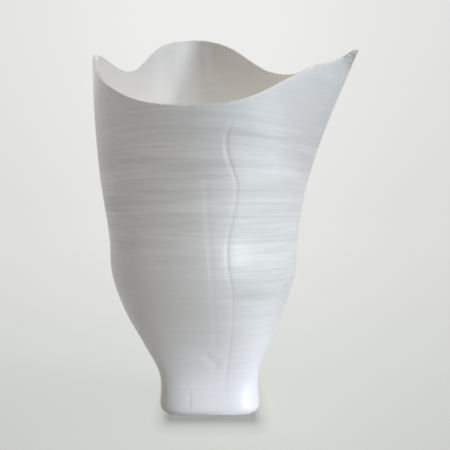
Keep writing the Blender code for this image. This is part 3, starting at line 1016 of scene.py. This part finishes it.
# The faces of the inside already ask for the second material.
shell.data.materials.append(silk_outside)
shell.data.materials.append(silk_inside)
for piece in (screen, knob):
    piece.data.materials.clear()
    piece.data.materials.append(silk_screen)
print("silk materials:", silk_outside.name, silk_inside.name, silk_screen.name)

# %% [markdown]
# Silicone is matt and a little waxy. Moulding leaves it with a fine even grain, and dust and
# fingers leave faint cloudy patches, which change both its colour and its gloss.

# %% Silicone
def silicone(name, light, dark, roughness):
    material, tree, shader = new_material(name)
    place = position(tree)[0]
    clouds = noise_value(tree, place, 260.0, 4.0)
    grain = noise_value(tree, place, 4500.0, 2.0)
    colour = mix(tree, clouds, (*dark, 1.0), (*light, 1.0))
    gloss = map_range(tree, clouds, 0.0, 1.0, roughness - 0.10, roughness + 0.10)
    surface(tree, shader, colour, gloss, grain, 0.6, 0.00003)
    return material


plug_finish = silicone("grey_silicone", (0.66, 0.67, 0.67), (0.56, 0.57, 0.57), 0.55)
pad_finish = silicone("clear_silicone", (0.74, 0.75, 0.75), (0.62, 0.63, 0.63), 0.38)
for piece, finish in [(plug, plug_finish)] + [(pad, pad_finish) for pad in pads]:
    piece.data.materials.clear()
    piece.data.materials.append(finish)
print("silicone materials:", plug_finish.name, pad_finish.name)

# %% [markdown]
# The planter stands on a pale sheet, a large disc. Its tone rises with the distance, alike to the
# front and to the back, and the square root spreads the near part over more of the ramp. A pool
# of light lies on it, narrow at the front and wider towards the back.

# %% Floor
FLOOR_RADIUS = 3.0
deselect_everything()
bpy.ops.mesh.primitive_circle_add(
    vertices=128, radius=FLOOR_RADIUS, fill_type="NGON", location=(0, 0, 0)
)
floor = bpy.context.object
floor.name = "pale_floor"
paper, tree, plain_shader = new_material("pale_paper")
tree.nodes.remove(plain_shader)
floor.data.materials.append(paper)

place, floor_x, floor_y, _ = position(tree)
lengthwise = calculate(tree, "ABSOLUTE", calculate(tree, "ADD", floor_y, 0.09))
crosswise = calculate(tree, "ABSOLUTE", floor_x)
past_sides = calculate(tree, "SUBTRACT", crosswise, 0.25)
away = calculate(tree, "MAXIMUM", lengthwise, past_sides)
root = calculate(tree, "POWER", calculate(tree, "DIVIDE", away, FLOOR_RADIUS + 0.1), 0.5)
tint = colour_ramp(tree, root, [
    (0.09, (0.630, 0.645, 0.612)),
    (0.17, (0.672, 0.685, 0.652)),
    (0.25, (0.716, 0.730, 0.708)),
    (0.38, (0.760, 0.765, 0.750)),
    (0.60, (0.790, 0.792, 0.779)),
    (1.00, (0.800, 0.801, 0.789)),
])
pool_width = calculate(tree, "MULTIPLY_ADD", lengthwise, 0.403, 0.113)
spread = calculate(tree, "DIVIDE", crosswise, pool_width)
pool = map_range(tree, spread, 0.1, 1.2, 1.0, 0.90, "SMOOTHSTEP")
print("floor radius, m:", FLOOR_RADIUS)

# %% [markdown]
# Under the foot and a little in front of it lies a soft shade, but not at its sides. The
# distance from a rounded rectangle, about the foot's outline, gives its depth.

# %% Contact shade
def beyond(tree, value, middle, half, width):
    """How far a coordinate lies outside middle +- half, as a share of width."""
    off = calculate(tree, "ABSOLUTE", calculate(tree, "SUBTRACT", value, middle))
    outside = calculate(tree, "MAXIMUM", calculate(tree, "SUBTRACT", off, half), 0.0)
    return calculate(tree, "DIVIDE", outside, width)


from_foot = add_node(tree, "CombineXYZ", None, {
    "X": beyond(tree, floor_x, FOOT_X + 0.0008, 0.0180, 0.010),
    "Y": beyond(tree, floor_y, FOOT_Y, 0.0215, 0.023),
})
DUSK = [(0, 0.54), (0.1, 0.47), (0.17, 0.5), (0.33, 0.68), (0.52, 0.85), (0.75, 0.93), (1, 1)]
gap = distance(tree, from_foot.outputs[0])
dusk = colour_ramp(tree, gap, [(stop, grey(share)) for stop, share in DUSK])
level = calculate(tree, "MULTIPLY", pool, dusk)
print("contact shade, nodes so far:", len(tree.nodes))

# %% [markdown]
# Far from the planter, the camera sees only the floor's own colour. Near it, the floor also takes
# a little of the lamps' light, and so a soft shadow. What it bounces back is a separate colour,
# which only light rays meet: it brightens the foot, and less so on the left, where the
# photograph has a shade.

# %% What the floor shows and what it bounces
def seen_or_bounced(tree, bounced, seen):
    """One shader for the light, and another for the camera, in reflections and through glass."""
    path = add_node(tree, "LightPath").outputs
    looked_at = calculate(tree, "MAXIMUM", path["Is Camera Ray"], path["Is Glossy Ray"])
    looked_at = calculate(tree, "MAXIMUM", looked_at, path["Is Transmission Ray"])
    choice = {"Fac": looked_at, 1: bounced.outputs[0], 2: seen.outputs[0]}
    return add_node(tree, "MixShader", None, choice).outputs[0]


far_glow = add_node(tree, "Emission", None, {"Color": tint, "Strength": level})
near_glow = add_node(tree, "Emission", None, {
    "Color": tint, "Strength": calculate(tree, "MULTIPLY", level, 0.915)
})
faint = add_node(tree, "BsdfDiffuse", None, {"Color": (*grey(0.12), 1.0)})
near = add_node(tree, "AddShader", None, {0: near_glow.outputs[0], 1: faint.outputs[0]})
fade = map_range(tree, distance(tree, place), 0.04, 0.35, kind="SMOOTHSTEP")
seen = add_node(tree, "MixShader", None, {
    "Fac": fade, 1: near.outputs[0], 2: far_glow.outputs[0]
})

from_left = distance(tree, place, (FOOT_X - 0.055, FOOT_Y, 0.0))
bounce = colour_ramp(tree, from_left, [(0.022, grey(0.10)), (0.064, (0.90, 0.90, 0.89))])
bounced = add_node(tree, "BsdfDiffuse", None, {"Color": bounce})
paper_out = tree.nodes["Material Output"].inputs["Surface"]
tree.links.new(seen_or_bounced(tree, bounced, seen), paper_out)
print("floor material, nodes:", len(tree.nodes))

# %% [markdown]
# The room gives a faint even light. What the camera sees behind the planter is a separate
# colour, brighter towards the top and darker towards the sides, so it doesn't light anything.

# %% World
world = bpy.data.worlds.new("pale_room")
bpy.context.scene.world = world
world.use_nodes = True
tree = world.node_tree
even = tree.nodes["Background"]
even.inputs["Color"].default_value = (1.0, 0.965, 0.915, 1.0)
even.inputs["Strength"].default_value = 0.065
look = add_node(tree, "TexCoord").outputs["Generated"]
look_x, look_y, look_z = add_node(tree, "SeparateXYZ", None, {0: look}).outputs
sky = colour_ramp(tree, map_range(tree, look_z, 0.0, 0.36), [
    (0.0, (0.800, 0.801, 0.789)),
    (0.4, (0.830, 0.830, 0.816)),
    (0.8, (0.850, 0.850, 0.835)),
    (1.0, (0.852, 0.852, 0.837)),
])
ahead = calculate(tree, "MAXIMUM", calculate(tree, "ABSOLUTE", look_y), 0.05)
spread = calculate(tree, "DIVIDE", calculate(tree, "ABSOLUTE", look_x), ahead)
pool = map_range(tree, spread, 0.04, 0.48, 1.0, 0.90, "SMOOTHSTEP")
backdrop = add_node(tree, "Background", None, {"Color": sky, "Strength": pool})
world_out = tree.nodes["World Output"].inputs["Surface"]
tree.links.new(seen_or_bounced(tree, even, backdrop), world_out)
bpy.context.scene.view_settings.view_transform = "Standard"
print("even light:", round(even.inputs["Strength"].default_value, 3))

# %% [markdown]
# Two tall lamps, at the front right and at the right, model the planter from its bright right
# flank to its grey left side. High lamps light the rim and the inside. A low one on the left and
# two behind lift the sides in the shade.

# %% Broad lamps
BROAD_LAMP_DISTANCE = 0.95


def lamp_at(kind, name, aim, towards, distance, power, colour):
    """A lamp at a distance from the place it is aimed at."""
    bpy.ops.object.light_add(type=kind, location=aim + towards * distance)
    lamp = bpy.context.object
    lamp.name = name
    lamp.rotation_euler = towards.to_track_quat("Z", "Y").to_euler()
    lamp.data.energy = power
    lamp.data.color = colour
    return lamp.data


def soft_lamp(name, azimuth, elevation, width, height, power, colour):
    """An area lamp that shines at the middle of the planter."""
    middle = Vector((FOOT_X, FOOT_Y, 0.10))
    a, e = math.radians(azimuth), math.radians(elevation)
    towards = Vector((math.cos(a) * math.cos(e), math.sin(a) * math.cos(e), math.sin(e)))
    light = lamp_at("AREA", name, middle, towards, BROAD_LAMP_DISTANCE, power, colour)
    light.shape = "RECTANGLE"
    light.size = width
    light.size_y = height


soft_lamp("tall_front_lamp", -46, 20, 0.25, 0.85, 1.5, (0.71, 0.80, 1.0))
soft_lamp("tall_right_lamp", -15, 22, 0.25, 0.85, 1.9, (0.75, 0.91, 1.0))
soft_lamp("high_front_lamp", -80, 45, 0.5, 0.5, 0.93, (1.0, 0.96, 0.77))
soft_lamp("high_right_lamp", 0, 50, 0.4, 0.4, 2.0, (1.0, 0.86, 0.81))
soft_lamp("low_left_lamp", -150, 20, 0.4, 0.8, 0.62, (1.0, 0.85, 0.73))
soft_lamp("rear_lamp", 125, 30, 0.6, 0.6, 0.7, (1.0, 1.0, 1.0))
soft_lamp("rear_low_lamp", 92, 6, 0.25, 0.7, 1.6, (1.0, 1.0, 1.0))

# %% [markdown]
# Narrow lamps add what the broad ones can't do alone: more light on the foot, on the belly's
# right flank, and on each side of the inside. Each is aimed at a place that is given by its
# direction from the foot's axis, its distance from it and its height.

# %% Narrow lamps
NARROW_LAMP_DISTANCE = 0.8


def narrow_lamp(name, azimuth, rise, aim_azimuth, aim_reach, aim_height, cone, size, power, colour):
    """A spot lamp that shines at a place on the wall, with a soft round edge."""
    a = math.radians(aim_azimuth)
    aim = Vector((FOOT_X + aim_reach * math.cos(a), FOOT_Y + aim_reach * math.sin(a), aim_height))
    a = math.radians(azimuth)
    towards = Vector((math.cos(a), math.sin(a), rise)).normalized()
    light = lamp_at("SPOT", name, aim, towards, NARROW_LAMP_DISTANCE, power, colour)
    light.spot_size = math.radians(cone)
    light.spot_blend = 1.0
    light.shadow_soft_size = size


narrow_lamp("foot_lamp", -51, 0.12, 0, 0.0, 0.008, 6.3, 0.015, 14.0, (0.83, 0.87, 1.0))
narrow_lamp("belly_lamp", -46, 0.05, -57, 0.048, 0.075, 8.2, 0.015, 7.0, (0.92, 0.99, 1.0))
narrow_lamp("inside_right_lamp", 175, 1.4, 0, 0.030, 0.160, 9.0, 0.04, 11.5, (1.0, 0.91, 0.65))
narrow_lamp("inside_left_lamp", -10, 1.0, 140, 0.042, 0.162, 6.5, 0.04, 7.0, (1.0, 0.94, 0.90))
